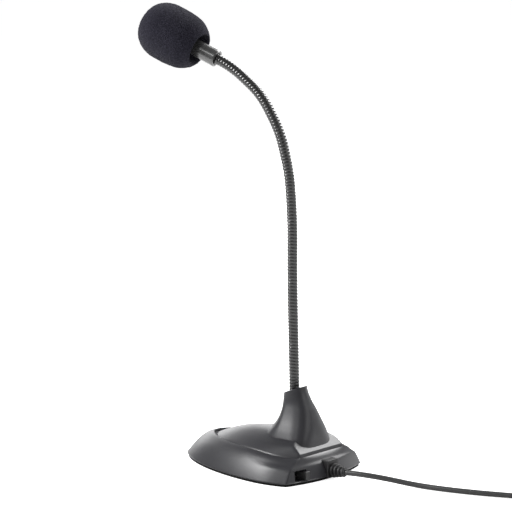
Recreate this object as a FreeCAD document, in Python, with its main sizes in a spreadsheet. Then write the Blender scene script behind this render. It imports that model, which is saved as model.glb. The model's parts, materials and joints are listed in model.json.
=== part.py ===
import FreeCAD, Part
import math
import os
import Sketcher
from FreeCAD import Placement, Rotation, Vector

# Gooseneck desk microphone.
# Frame: millimetres, +Z up, the table is z = 0, the nose of the base and the microphone head
# point to -Y, the cable leaves to +Y. The origin is on the table, on the axis of the hole
# in the top of the neck, where the gooseneck comes out.

doc = FreeCAD.newDocument("gooseneck_microphone")
sheet = doc.addObject("Spreadsheet::Sheet", "dims")

DRIVING = (
    # base shell
    ("base_half_width", 36.3), ("widest_y", 2.3), ("nose_reach", 74.9),
    ("corner_half_width", 32.9), ("corner_y", 20.8), ("rear_bulge", 5.7),
    ("skirt_bottom", 1.2), ("skirt_top", 15.4), ("slope_power", 1.82), ("nose_power", 1.75),
    ("rim_half_width", 25.8), ("rim_nose_reach", 56.4), ("rim_corner_half_width", 19.9),
    ("rim_rear_y", 19.7), ("wall", 2.2), ("leaf_gap", 0.25), ("leaf_seat", 13.9),
    # neck
    ("neck_top", 46.0), ("neck_tilt", 21.0), ("neck_hole_radius", 3.0),
    ("web_low", 32.0), ("web_high", 34.4),
    # bottom
    ("pad_thick", 1.15), ("pad_inset", 0.9), ("plate_thick", 1.6), ("plate_inset", 2.9),
    ("ballast_thick", 4.0), ("ballast_half_width", 19.0), ("ballast_front", 44.0),
    ("ballast_back", 3.0), ("ballast_corner", 4.0), ("ballast_screw_front", 38.0),
    ("ballast_screw_back", 9.0),
    ("screw_radius", 1.25), ("screw_head_radius", 2.4), ("screw_head_thick", 1.0),
    ("boss_radius", 3.0), ("rear_boss_x", 24.5), ("rear_boss_y", 4.0),
    ("front_boss_x", 12.5), ("front_boss_y", 51.0), ("base_screw_top", 6.6),
    # slide switch
    ("slot_centre_x", 20.9), ("slot_width", 8.8), ("slot_centre_z", 4.9), ("slot_height", 6.0),
    ("knob_x", 18.6), ("knob_width", 3.4), ("knob_centre_z", 4.4), ("knob_height", 4.6),
    ("knob_tip_y", 24.5), ("switch_width", 10.0), ("switch_height", 5.0),
    ("switch_depth", 5.0), ("switch_y", 17.4), ("flange_width", 12.0), ("flange_thick", 0.8),
    ("flange_screw_inset", 0.9),
    # cable entry
    ("cable_radius", 1.5), ("cable_exit_y", 36.0), ("cable_exit_z", 4.6),
    ("entry_half_width", 4.6), ("entry_low", 1.3), ("entry_high", 10.5),
    ("entry_block_y", 27.0), ("entry_inner_y", 16.5), ("entry_flange_half_width", 6.4),
    ("entry_stem_radius", 2.3),
    # gooseneck
    ("coil_radius", 2.8), ("coil_bore", 1.9), ("lead_radius", 0.55), ("joint_gap", 0.2),
    ("joint_straight", 3.0), ("plane_turn", 11.0), ("coil_emerges", 46.6),
    ("socket_bottom", 25.5), ("socket_radius", 3.4), ("socket_flange_radius", 3.8),
    ("socket_clearance", 0.1), ("washer_radius", 5.0), ("nut_across", 5.6),
    # head
    ("collar_radius", 4.75), ("collar_bore", 3.6), ("collar_length", 43.5),
    ("collar_mouth", 3.15), ("collar_lip", 1.6), ("coil_in_collar", 8.0),
    ("ferrule_radius", 3.1), ("ferrule_length", 6.0), ("ferrule_recess", 0.9),
    ("capsule_radius", 3.0), ("capsule_length", 4.6), ("boot_length", 6.2),
    ("grille_thick", 0.6), ("felt_thick", 0.6), ("board_thick", 0.8),
    ("foam_radius", 16.0), ("foam_start", 11.9), ("foam_length", 37.6), ("foam_gap", 0.3),
    ("foam_mouth_radius", 7.6),
    # wound cable and plug
    ("wind_x", -51.25), ("wind_y", 153.0), ("wind_mean_radius", 17.0), ("wind_pitch", 3.1),
    ("turns_across", 4), ("turn_layers", 4),
    ("tie_thick", 0.5), ("tie_width", 6.0), ("plug_radius", 4.0), ("plug_x", -81.9),
    ("plug_y", 147.0), ("jack_radius", 1.75),
)

for row, (alias, value) in enumerate(DRIVING, start=1):
    sheet.set("A%d" % row, alias)
    sheet.set("B%d" % row, str(value))
    sheet.setAlias("B%d" % row, alias)
doc.recompute()


def dim(alias):
    """A driving dimension, read from the sheet."""
    return float(sheet.get(alias))


made = []


def finish_part(obj, node):
    """Names a finished sub-part; its label is its file name."""
    obj.Label = node
    made.append(obj)
    return obj


def shape_part(node, shape, placement=None):
    """A sub-part whose solid is computed."""
    obj = doc.addObject("Part::Feature", node)
    obj.Shape = shape
    obj.Placement = placement or Placement()
    return finish_part(obj, node)


def fuse_all(shapes):
    whole = shapes[0].multiFuse(shapes[1:])
    return whole.removeSplitter()


def box(x0, x1, y0, y1, z0, z1):
    return Part.makeBox(x1 - x0, y1 - y0, z1 - z0, Vector(x0, y0, z0))


def rod(x, y, z0, z1, radius):
    return Part.makeCylinder(radius, z1 - z0, Vector(x, y, z0))


def revolved(points, arc_through=None):
    """Solid of revolution about Z from (radius, height) points.

    arc_through = (index, point): the edge that starts at points[index] is an arc through point."""
    corners = [Vector(r, 0, z) for r, z in points]
    edges = []
    for i, start in enumerate(corners):
        end = corners[(i + 1) % len(corners)]
        if arc_through and arc_through[0] == i:
            middle = Vector(arc_through[1][0], 0, arc_through[1][1])
            edges.append(Part.Arc(start, middle, end).toShape())
        else:
            edges.append(Part.LineSegment(start, end).toShape())
    face = Part.Face(Part.Wire(edges))
    return face.revolve(Vector(0, 0, 0), Vector(0, 0, 1), 360)


# ---------------------------------------------------------------- base outline

def half_width(y, width, widest_y, reach, corner_half, corner_y, power):
    """Half of the outline's width at y: an egg in front of the widest place, a parabola behind."""
    if y <= widest_y:
        share = min(1.0, (widest_y - y) / (reach + widest_y))
        return width * (1 - share ** power) ** (1 / power)
    share = (y - widest_y) / (corner_y - widest_y)
    return width - (width - corner_half) * share ** 2


SIDE_STATIONS = (0.995, 0.95, 0.85, 0.7, 0.5, 0.3, 0.12)


def outline_curves(step, height, inset=0.0):
    """Outline between the skirt's foot (step 0) and the rim round the leaf (step 1)."""
    def between(low, high):
        return dim(low) + (dim(high) - dim(low)) * step

    width = between("base_half_width", "rim_half_width") - inset
    reach = between("nose_reach", "rim_nose_reach") - inset
    corner_half = between("corner_half_width", "rim_corner_half_width") - inset
    corner_y = between("corner_y", "rim_rear_y") - inset
    widest_y = dim("widest_y")
    bulge = dim("rear_bulge") * (1 - step)
    power = dim("nose_power")
    ys = [widest_y - share * (reach + widest_y) for share in SIDE_STATIONS]
    ys += [widest_y, (widest_y + corner_y) / 2, corner_y]
    side = []
    for y in ys:
        x = half_width(y, width, widest_y, reach, corner_half, corner_y, power)
        side.append(Vector(x, y, height))
    nose = Vector(0, -reach, height)
    other = [Vector(-p.x, p.y, p.z) for p in side]
    curve = Part.BSplineCurve()
    curve.interpolate(list(reversed(side)) + [nose] + other)
    if bulge < 0.05:
        return [curve, Part.LineSegment(other[-1], side[-1])]
    return [curve, Part.Arc(other[-1], Vector(0, corner_y + bulge, height), side[-1])]


def outline_wire(step, height, inset=0.0):
    return Part.Wire([curve.toShape() for curve in outline_curves(step, height, inset)])


def skirt_step(height):
    """How far in from the foot the skirt's surface is at a height, 0 to 1."""
    share = (height - dim("skirt_bottom")) / (dim("skirt_top") - dim("skirt_bottom"))
    return 1 - (1 - share) ** (1 / dim("slope_power"))


def skirt_solid(inset, bottom, top):
    """The pillow shape of the skirt, cut off flat at bottom and top, or its inside."""
    levels = [dim("skirt_bottom") + share * (dim("skirt_top") - dim("skirt_bottom"))
              for share in (0.0, 0.2, 0.42, 0.65, 0.85, 0.97)]
    wires = [outline_wire(skirt_step(z), z - inset * 0.5, inset) for z in levels]
    solid = Part.makeLoft(wires, True, False)
    keep = box(-60, 60, -100, 60, bottom, top)
    return solid.common(keep)


def flat_outline(step, bottom, top, inset):
    return Part.Face(outline_wire(step, bottom, inset)).extrude(Vector(0, 0, top - bottom))


# ---------------------------------------------------------------- base cover

def screw_places():
    places = [(side * dim("rear_boss_x"), dim("rear_boss_y")) for side in (1, -1)]
    places += [(side * dim("front_boss_x"), -dim("front_boss_y")) for side in (1, -1)]
    return places


def make_base_cover():
    top = dim("skirt_top") - 0.4
    outer = skirt_solid(0.0, dim("skirt_bottom"), top)
    inner = skirt_solid(dim("wall"), dim("skirt_bottom") - 1, dim("skirt_top") - dim("wall"))
    plate_top = dim("pad_thick") + dim("plate_thick")
    foot = flat_outline(0.0, dim("skirt_bottom") - 0.5, plate_top + 0.1, dim("wall") + 0.2)
    shell = outer.cut(inner.fuse(foot))
    bosses = [rod(x, y, plate_top, 12, dim("boss_radius")) for x, y in screw_places()]
    slot_x, slot_z = dim("slot_centre_x"), dim("slot_centre_z")
    screw_step = dim("flange_width") / 2 - dim("flange_screw_inset")
    for side in (1, -1):
        x = slot_x + side * screw_step
        bosses.append(box(x - 0.9, x + 0.9, dim("switch_y"), 26, slot_z - 2, slot_z + 2))
    for boss in bosses:
        shell = shell.fuse(boss.common(outer))
    seat = flat_outline(1.0, dim("leaf_seat"), 20, -dim("leaf_gap"))
    opening = flat_outline(1.0, 5, 20, 3.0)
    slot = box(slot_x - dim("slot_width") / 2, slot_x + dim("slot_width") / 2, 15, 40,
               slot_z - dim("slot_height") / 2, slot_z + dim("slot_height") / 2)
    reach = dim("entry_half_width") + 0.1
    notch = box(-reach, reach, 12, 40, 0, dim("entry_high") + 0.1)
    for tool in (seat, opening, slot, notch):
        shell = shell.cut(tool)
    for x, y in screw_places():
        shell = shell.cut(rod(x, y, plate_top - 1, dim("base_screw_top"), dim("screw_radius")))
    for side in (1, -1):
        x = slot_x + side * screw_step
        shell = shell.cut(Part.makeCylinder(0.5, 2.0, Vector(x, dim("switch_y"), slot_z),
                                            Vector(0, 1, 0)))
    return shape_part("base_cover", shell.removeSplitter())


# ---------------------------------------------------------------- leaf and neck

LEAF_LEVELS = (
    # height, half width, reach of the nose, half width of the rear corners, rear y
    (13.9, 25.4, 54.8, 19.5, 19.4),
    (15.6, 24.4, 51.2, 19.1, 19.0),
    (17.6, 21.6, 46.0, 17.6, 18.4),
    (19.6, 17.8, 40.2, 15.4, 17.5),
    (21.4, 13.6, 33.0, 12.4, 15.0),
    (22.6, 9.4, 25.0, 8.6, 10.5),
    (23.2, 5.0, 14.0, 4.6, 6.5),
)

NECK_LEVELS = (
    # height, half width, front, rear, squareness of the rear corners
    (15.0, 15.7, 17.8, 17.0, 4.0),
    (19.5, 15.2, 16.6, 16.6, 4.0),
    (23.3, 13.9, 14.6, 16.1, 3.6),
    (27.0, 12.3, 10.6, 15.3, 3.3),
    (31.0, 10.5, 7.8, 14.1, 3.0),
    (35.5, 8.7, 6.2, 12.5, 2.7),
    (40.0, 7.2, 5.9, 10.1, 2.4),
    (49.0, 6.1, 6.1, 6.3, 2.0),
)


def leaf_wire(level, inset):
    height, width, reach, corner_half, corner_y = level
    widest_y = dim("widest_y")
    ys = [widest_y - share * (reach - inset + widest_y) for share in SIDE_STATIONS]
    ys += [widest_y, corner_y - inset]
    side = []
    for y in ys:
        x = half_width(y, width - inset, widest_y, reach - inset, corner_half - inset,
                       corner_y - inset, dim("nose_power"))
        side.append(Vector(x, y, height))
    other = [Vector(-p.x, p.y, p.z) for p in side]
    curve = Part.BSplineCurve()
    curve.interpolate(list(reversed(side)) + [Vector(0, inset - reach, height)] + other)
    back = Part.LineSegment(other[-1], side[-1])
    return Part.Wire([curve.toShape(), back.toShape()])


def neck_wire(level, inset):
    """Closed neck section: round in front, squarer behind."""
    height, width, front, rear, squareness = level
    points = []
    count = 20
    for i in range(count):
        angle = 2 * math.pi * i / count
        across, along = math.cos(angle), math.sin(angle)
        power = squareness if along > 0 else 2.0
        reach = (rear if along > 0 else front) - inset
        size = (abs(across) ** power + abs(along) ** power) ** (-1 / power)
        points.append(Vector((width - inset) * across * size, reach * along * size, height))
    curve = Part.BSplineCurve()
    curve.interpolate(points, PeriodicFlag=True)
    return Part.Wire([curve.toShape()])


def make_upper_cover():
    wall = dim("wall") - 0.2
    leaf = Part.makeLoft([leaf_wire(level, 0) for level in LEAF_LEVELS], True, False)
    neck = Part.makeLoft([neck_wire(level, 0) for level in NECK_LEVELS], True, False)
    crown = Part.makeBox(60, 60, 30, Vector(-30, -30, 0))
    crown.Placement = Placement(Vector(0, 0, dim("neck_top")),
                                Rotation(Vector(1, 0, 0), dim("neck_tilt")))
    neck = neck.cut(crown)
    low_neck = box(-40, 40, -80, 40, dim("leaf_seat"), 70)
    outer = leaf.fuse(neck.common(low_neck))
    leaf_room = Part.makeLoft([leaf_wire(level, wall) for level in LEAF_LEVELS], True, False)
    leaf_room.translate(Vector(0, 0, -wall))
    neck_room = Part.makeLoft([neck_wire(level, wall) for level in NECK_LEVELS], True, False)
    below = neck_room.common(box(-40, 40, -80, 40, 0, dim("web_low")))
    above = neck_room.common(box(-40, 40, -80, 40, dim("web_high"), dim("neck_top") - 4.5))
    cover = outer.cut(leaf_room.fuse(below)).cut(above)
    cover = cover.cut(flat_outline(1.0, 5, dim("leaf_seat") + 0.6, wall + 0.3))
    cover = cover.cut(rod(0, 0, dim("web_high") - 0.5, 60, dim("neck_hole_radius")))
    cover = cover.cut(rod(0, 0, dim("web_low") - 1, dim("web_high") + 1, dim("socket_radius")))
    return shape_part("upper_cover", cover.removeSplitter())


# ---------------------------------------------------------------- bottom

def new_body(node):
    body = doc.addObject("PartDesign::Body", node)
    return finish_part(body, node)


def new_sketch(body, role, offset=0.0):
    """Sketch on one of the body's own origin planes, moved along the plane's normal."""
    sketch = body.newObject("Sketcher::SketchObject", body.Name + "_sketch")
    plane = next(f for f in body.Origin.OriginFeatures if f.Role == role)
    sketch.AttachmentSupport = [(plane, "")]
    sketch.MapMode = "FlatFace"
    sketch.AttachmentOffset = Placement(Vector(0, 0, offset), Rotation())
    return sketch


def circle(sketch, x, y, radius_of):
    """A full circle whose radius is an expression of the sheet."""
    index = sketch.addGeometry(Part.Circle(Vector(x, y, 0), Vector(0, 0, 1), 1.0), False)
    constraint = sketch.addConstraint(Sketcher.Constraint("Radius", index, 1.0))
    sketch.setExpression("Constraints[%d]" % constraint, radius_of)
    return index


def polygon(sketch, points):
    """Closed outline of straight sides, with its corners joined."""
    corners = [Vector(x, y, 0) for x, y in points]
    first = sketch.GeometryCount
    for i, start in enumerate(corners):
        sketch.addGeometry(Part.LineSegment(start, corners[(i + 1) % len(corners)]), False)
    count = len(corners)
    for i in range(count):
        here, after = first + i, first + (i + 1) % count
        sketch.addConstraint(Sketcher.Constraint("Coincident", here, 2, after, 1))


def pad(body, sketch, length_of, reverse=False):
    feature = body.newObject("PartDesign::Pad", body.Name + "_pad")
    feature.Profile = sketch
    feature.Reversed = reverse
    feature.setExpression("Length", length_of)
    return feature


def pocket(body, sketch, length_of, reverse=False):
    """A pocket whose direction is checked by the volume that it takes away."""
    doc.recompute()
    before = body.Shape.Volume
    feature = body.newObject("PartDesign::Pocket", body.Name + "_pocket")
    feature.Profile = sketch
    feature.Reversed = reverse
    feature.setExpression("Length", length_of)
    doc.recompute()
    if body.Shape.Volume > before - 0.01:
        raise RuntimeError(body.Name + ": a pocket cuts nothing")
    return feature


def turned(body, points):
    """Revolution about the body's Z axis of a (radius, height) outline."""
    sketch = new_sketch(body, "XZ_Plane")
    polygon(sketch, points)
    feature = body.newObject("PartDesign::Revolution", body.Name + "_turned")
    feature.Profile = sketch
    feature.ReferenceAxis = (sketch, ["V_Axis"])
    feature.Angle = 360
    return feature


def make_foot_pad():
    body = new_body("foot_pad")
    sketch = new_sketch(body, "XY_Plane")
    for curve in outline_curves(0.0, 0.0, dim("pad_inset")):
        sketch.addGeometry(curve, False)
    pad(body, sketch, "dims.pad_thick")


def make_base_plate():
    body = new_body("base_plate")
    sketch = new_sketch(body, "XY_Plane", dim("pad_thick"))
    for curve in outline_curves(0.0, 0.0, dim("plate_inset")):
        sketch.addGeometry(curve, False)
    pad(body, sketch, "dims.plate_thick")
    holes = new_sketch(body, "XY_Plane", dim("pad_thick"))
    for x, y in screw_places():
        circle(holes, x, y, "dims.screw_radius")
    for y in (-dim("ballast_screw_front"), -dim("ballast_screw_back")):
        circle(holes, 0, y, "dims.screw_radius")
    pocket(body, holes, "dims.plate_thick", reverse=True)
    sinks = new_sketch(body, "XY_Plane", dim("pad_thick"))
    for x, y in screw_places():
        circle(sinks, x, y, "dims.screw_head_radius")
    pocket(body, sinks, "dims.screw_head_thick", reverse=True)
    notches = new_sketch(body, "XY_Plane", dim("pad_thick"))
    half = dim("entry_flange_half_width") + 0.5
    front = dim("entry_inner_y") - 0.5
    polygon(notches, [(-half, front), (half, front), (half, 40), (-half, 40)])
    left = dim("slot_centre_x") - dim("flange_width") / 2 - 0.5
    right = dim("slot_centre_x") + dim("flange_width") / 2 + 0.5
    front = dim("switch_y") - dim("switch_depth") - 0.6
    polygon(notches, [(left, front), (right, front), (right, 40), (left, 40)])
    pocket(body, notches, "dims.plate_thick", reverse=True)


def make_ballast():
    """Steel weight, a plate with cut corners and two screw holes."""
    body = new_body("ballast_plate")
    low = dim("pad_thick") + dim("plate_thick")
    sketch = new_sketch(body, "XY_Plane", low)
    half, front, back = dim("ballast_half_width"), -dim("ballast_front"), -dim("ballast_back")
    cut = dim("ballast_corner")
    outline = [(-half, front + 2 * cut), (-half + 2 * cut, front), (half - 2 * cut, front),
               (half, front + 2 * cut), (half, back - cut), (half - cut, back),
               (-half + cut, back), (-half, back - cut)]
    polygon(sketch, outline)
    pad(body, sketch, "dims.ballast_thick")
    holes = new_sketch(body, "XY_Plane", low)
    for y in (-dim("ballast_screw_front"), -dim("ballast_screw_back")):
        circle(holes, 0, y, "dims.screw_radius")
    pocket(body, holes, "dims.ballast_thick", reverse=True)


def make_screws():
    """Self-tapping screws: four from below through the plate, two down through the ballast."""
    plate = dim("pad_thick")
    shank, head = dim("screw_radius"), dim("screw_head_radius")
    thick = dim("screw_head_thick")
    base = []
    for x, y in screw_places():
        screw = rod(x, y, plate, plate + thick, head).fuse(
            rod(x, y, plate, dim("base_screw_top"), shank))
        slots = box(x - 1.3, x + 1.3, y - 0.25, y + 0.25, plate, plate + 0.6).fuse(
            box(x - 0.25, x + 0.25, y - 1.3, y + 1.3, plate, plate + 0.6))
        base.append(screw.cut(slots))
    shape_part("base_screws", Part.makeCompound(base))
    top = plate + dim("plate_thick") + dim("ballast_thick")
    held = []
    for y in (-dim("ballast_screw_front"), -dim("ballast_screw_back")):
        screw = rod(0, y, top, top + 1.4, head + 0.4).fuse(rod(0, y, plate + 0.2, top, shank))
        held.append(screw.cut(box(-1.5, 1.5, y - 0.3, y + 0.3, top + 0.7, top + 2)))
    shape_part("ballast_screws", Part.makeCompound(held))


# ---------------------------------------------------------------- slide switch

def make_switch():
    x, z, y = dim("slot_centre_x"), dim("slot_centre_z"), dim("switch_y")
    half, high = dim("switch_width") / 2, dim("switch_height") / 2
    depth = dim("switch_depth")
    thick = dim("flange_thick")
    can = box(x - half, x + half, y - depth, y - thick, z - high, z + high)
    can = can.cut(box(x - half + 0.5, x + half - 0.5, y - depth - 1, y - thick - 0.5,
                      z - high + 0.5, z + high - 0.5))
    flange = box(x - dim("flange_width") / 2, x + dim("flange_width") / 2, y - thick, y,
                 z - high, z + high)
    shell = can.fuse(flange)
    travel = dim("slot_width") / 2 - 0.6
    shell = shell.cut(box(x - travel, x + travel, y - 3, y + 1, z - 1.1, z + 1.1))
    for side in (1, -1):
        hole_x = x + side * (dim("flange_width") / 2 - dim("flange_screw_inset"))
        shell = shell.cut(Part.makeCylinder(0.5, 3, Vector(hole_x, y - 2, z), Vector(0, 1, 0)))
        shell = shell.cut(Part.makeCylinder(1.1, depth, Vector(hole_x, y - depth - thick, z),
                                            Vector(0, 1, 0)))
    shape_part("switch_shell", shell.removeSplitter())
    base = box(x - half + 0.5, x + half - 0.5, y - depth, y - depth + 1.2, z - high + 0.5,
               z + high - 0.5)
    shape_part("switch_base", base)
    pins = [box(x + step - 0.4, x + step + 0.4, y - depth - 3, y - depth, z - 0.15, z + 0.15)
            for step in (-3.5, 0, 3.5)]
    shape_part("switch_terminals", Part.makeCompound(pins))
    screws = []
    for side in (1, -1):
        hole_x = x + side * (dim("flange_width") / 2 - dim("flange_screw_inset"))
        head = Part.makeCylinder(1.0, 0.6, Vector(hole_x, y - thick - 0.6, z), Vector(0, 1, 0))
        shank = Part.makeCylinder(0.5, thick + 2, Vector(hole_x, y - thick, z), Vector(0, 1, 0))
        screws.append(head.fuse(shank))
    shape_part("switch_screws", Part.makeCompound(screws))
    knob_x, knob_z, tip = dim("knob_x"), dim("knob_centre_z"), dim("knob_tip_y")
    half, high = dim("knob_width") / 2, dim("knob_height") / 2
    cap = box(knob_x - half, knob_x + half, y + 0.4, tip, knob_z - high, knob_z + high)
    stem = box(knob_x - 0.9, knob_x + 0.9, y - 3, y + 0.6, z - 0.9, z + 0.9)
    foot = box(knob_x - 1.5, knob_x + 1.5, y - 3.2, y - 1.5, z - 1.6, z + 1.6)
    knob = cap.fuse([stem, foot])
    for i in range(3):
        ridge_x = knob_x + (i - 1) * 1.0
        knob = knob.cut(box(ridge_x - 0.25, ridge_x + 0.25, tip - 0.4, tip + 1, z - 3, z + 3))
    shape_part("switch_knob", knob.removeSplitter())


# ---------------------------------------------------------------- cable entry

ENTRY_RIB_RADII = (4.0, 3.6, 3.2, 2.75)


def make_cable_entry():
    """Moulded strain relief: a flange inside, a block through the wall and round ribs."""
    half, low, high = dim("entry_half_width"), dim("entry_low"), dim("entry_high")
    inner, flange = dim("entry_inner_y"), dim("entry_flange_half_width")
    block_y, exit_y, axis_z = dim("entry_block_y"), dim("cable_exit_y"), dim("cable_exit_z")
    block = box(-half, half, inner, block_y, low, high)
    edges = [e for e in block.Edges if abs(e.CenterOfMass.y - block_y) < 0.01]
    block = block.makeFillet(0.5, edges)
    plate = box(-flange, flange, inner, inner + 1.6, low, high)
    stem = Part.makeCylinder(dim("entry_stem_radius"), exit_y - block_y,
                             Vector(0, block_y, axis_z), Vector(0, 1, 0))
    pieces = [block, plate, stem]
    gap = 0.7
    pitch = (exit_y - block_y - 1.0) / len(ENTRY_RIB_RADII)
    for i, radius in enumerate(ENTRY_RIB_RADII):
        place = Vector(0, block_y + 1.0 + i * pitch, axis_z)
        pieces.append(Part.makeCylinder(radius, pitch - gap, place, Vector(0, 1, 0)))
    shape_part("cable_entry", fuse_all(pieces))
    bar_y = 8.0
    plate_top = dim("pad_thick") + dim("plate_thick")
    top = axis_z + dim("cable_radius")
    bar = box(-8, 8, bar_y - 2.5, bar_y + 2.5, plate_top, top + 1.2)
    groove = Part.makeCylinder(dim("cable_radius"), 20, Vector(0, bar_y - 10, axis_z),
                               Vector(0, 1, 0))
    bar = bar.cut(groove).cut(box(-1.5, 1.5, 0, 20, 0, axis_z))
    holes = [rod(x, bar_y, plate_top - 1, top + 3, 1.0) for x in (-5.5, 5.5)]
    for hole in holes:
        bar = bar.cut(hole)
    shape_part("cable_clamp", bar)
    screws = [rod(x, bar_y, plate_top, top + 1.2, 1.0).fuse(
        rod(x, bar_y, top + 1.2, top + 2.2, 1.9)) for x in (-5.5, 5.5)]
    shape_part("clamp_screws", Part.makeCompound(screws))
    jacket = Part.makeCylinder(dim("cable_radius"), inner - 3, Vector(0, 3, axis_z),
                               Vector(0, 1, 0))
    shape_part("inner_cable", jacket)
    switch_y = dim("switch_y") - dim("switch_depth") - 3
    to_switch = rounded_tube([Vector(0.6, 3, axis_z), Vector(0.6, -0.5, axis_z),
                              Vector(9, -0.5, axis_z + 1.5), Vector(15.7, 5, 5),
                              Vector(15.7, switch_y, dim("slot_centre_z"))], 0.45)
    to_neck = rounded_tube([Vector(-0.6, 3, axis_z), Vector(-0.6, -1, axis_z + 0.8),
                            Vector(0, -1, 12), Vector(0, 0, dim("socket_bottom") - 1.0)], 0.45)
    shape_part("switch_lead", to_switch)
    shape_part("neck_lead", to_neck)


# ---------------------------------------------------------------- tubes along routes

def rounded_path(points, share=0.45, report=None):
    """Straight runs joined by tangent arcs, each as large as its two runs allow."""
    edges = []
    start = points[0]
    for before, corner, after in zip(points, points[1:], points[2:]):
        into, out = corner - before, after - corner
        turn = into.getAngle(out)
        cut = share * min(into.Length, out.Length)
        if turn < 1e-6:
            raise RuntimeError("three points of a route are in line")
        radius = cut / math.tan(turn / 2)
        if report:
            print("%s: turn %.1f deg, radius %.1f mm" % (report, math.degrees(turn), radius))
        first = corner - into.normalize() * cut
        last = corner + out.normalize() * cut
        inward = (last - corner).normalize() + (first - corner).normalize()
        centre = corner + inward.normalize() * (radius / math.cos(turn / 2))
        middle = centre + (corner - centre).normalize() * radius
        edges.append(Part.LineSegment(start, first).toShape())
        edges.append(Part.Arc(first, middle, last).toShape())
        start = last
    edges.append(Part.LineSegment(start, points[-1]).toShape())
    return Part.Wire(edges)


def rounded_tube(points, radius, report=None):
    path = rounded_path(points, report=report)
    along = points[1] - points[0]
    section = Part.Wire([Part.Circle(points[0], along, radius).toShape()])
    tube = path.makePipeShell([section], True, False)
    volume = math.pi * radius ** 2 * path.Length
    if report:
        print("%s: length %.1f mm, volume ratio %.4f" % (report, path.Length,
                                                         tube.Volume / volume))
    if abs(tube.Volume / volume - 1) > 0.02:
        raise RuntimeError("a tube's volume is not its section times its length")
    return tube


# ---------------------------------------------------------------- gooseneck

# Arc length from the neck's mouth to each joint, and the lean from upright there, forward.
JOINT_STATIONS = (5.0, 42.0, 78.0, 106.0, 130.0, 153.0, 176.0)
JOINT_LEANS = (1.6, 1.2, 0.2, 3.9, 14.5, 30.2, 52.0)
COLLAR_STATION = 197.5
COLLAR_LEAN = 67.0


def forward():
    """Horizontal direction in which the gooseneck bends."""
    turn = math.radians(dim("plane_turn"))
    return Vector(math.sin(turn), -math.cos(turn), 0)


def leaning(lean):
    angle = math.radians(lean)
    return forward() * math.sin(angle) + Vector(0, 0, 1) * math.cos(angle)


def walk(start, lean_in, lean_out, length, straight):
    """Edges of a straight, an arc and a straight that follow on from start, and their end."""
    edges = []
    a = start + leaning(lean_in) * straight
    edges.append(Part.LineSegment(start, a).toShape())
    bend = length - 2 * straight
    turn = math.radians(lean_out - lean_in)
    if abs(turn) < 1e-4:
        b = a + leaning(lean_in) * bend
        edges.append(Part.LineSegment(a, b).toShape())
    else:
        chord = bend * math.sin(turn / 2) / (turn / 2)
        half_chord = (bend / 2) * math.sin(turn / 4) / (turn / 4)
        b = a + leaning((lean_in + lean_out) / 2) * chord
        middle = a + leaning(lean_in + (lean_out - lean_in) / 4) * half_chord
        edges.append(Part.Arc(a, middle, b).toShape())
    end = b + leaning(lean_out) * straight
    edges.append(Part.LineSegment(b, end).toShape())
    return edges, end


def aimed(position, lean):
    """Placement that turns +Z to the gooseneck's direction and moves the origin to position."""
    return Placement(position, Rotation(Vector(0, 0, 1), leaning(lean)))


def pipe(edges, start, direction, radius):
    section = Part.Wire([Part.Circle(start, direction, radius).toShape()])
    return Part.Wire(edges).makePipeShell([section], True, False)


def ball_end(position, lean):
    """Round end of a link, centred on the joint: the tube's last straight piece."""
    r, bore, back = dim("coil_radius"), dim("coil_bore"), dim("joint_straight")
    top = math.sqrt(r * r - bore * bore)
    mid = math.radians(25)
    solid = revolved([(bore, -back), (r, -back), (r, 0), (bore, top)],
                     (2, (r * math.cos(mid), r * math.sin(mid))))
    solid.Placement = aimed(position, lean)
    return solid


def cup_end(position, lean):
    """Hollow end of the next link, which turns about the same centre with a small gap."""
    r, bore, back = dim("coil_radius"), dim("coil_bore"), dim("joint_straight")
    cup = r + dim("joint_gap")
    rim, inner = math.sqrt(cup * cup - r * r), math.sqrt(cup * cup - bore * bore)
    mid = (math.atan2(rim, r) + math.atan2(inner, bore)) / 2
    solid = revolved([(bore, inner), (r, rim), (r, back), (bore, back)],
                     (0, (cup * math.cos(mid), cup * math.sin(mid))))
    solid.Placement = aimed(position, lean)
    return solid


def make_gooseneck():
    """Seven links end to end; each but the last ends in a ball inside the next one's cup."""
    straight = dim("joint_straight")
    r, bore, lead = dim("coil_radius"), dim("coil_bore"), dim("lead_radius")
    low = Vector(0, 0, dim("socket_bottom"))
    mouth = Vector(0, 0, dim("coil_emerges"))
    rise = (mouth - low).Length
    edges, joint = walk(low, 0, JOINT_LEANS[0], rise + JOINT_STATIONS[0], straight)
    tube = pipe(edges[:2], low, Vector(0, 0, 1), r)
    tube = tube.cut(pipe(edges[:2], low, Vector(0, 0, 1), bore))
    foot = fuse_all([tube, ball_end(joint, JOINT_LEANS[0])])
    shape_part("gooseneck_foot", foot)
    shape_part("gooseneck_foot_lead", pipe(edges[:2], low, Vector(0, 0, 1), lead))
    joints = [joint]
    stations = JOINT_STATIONS + (COLLAR_STATION,)
    leans = JOINT_LEANS + (COLLAR_LEAN,)
    for i in range(len(JOINT_STATIONS)):
        last = i == len(JOINT_STATIONS) - 1
        start, lean_in, lean_out = joints[-1], leans[i], leans[i + 1]
        length = stations[i + 1] - stations[i]
        edges, end = walk(start, lean_in, lean_out, length, straight)
        if last:
            into = end + leaning(lean_out) * dim("coil_in_collar")
            edges[2] = Part.LineSegment(edges[2].Vertexes[0].Point, into).toShape()
        body_edges = edges[1:] if last else edges[1:2]
        at_start = body_edges[0].Vertexes[0].Point
        tube = pipe(body_edges, at_start, leaning(lean_in), r)
        tube = tube.cut(pipe(body_edges, at_start, leaning(lean_in), bore))
        ends = [tube, cup_end(start, lean_in)]
        if not last:
            ends.append(ball_end(end, lean_out))
        shape_part("gooseneck_%d" % (i + 1), fuse_all(ends))
        shape_part("gooseneck_lead_%d" % (i + 1),
                   pipe(body_edges, at_start, leaning(lean_in), lead))
        joints.append(end)
    return joints


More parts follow.
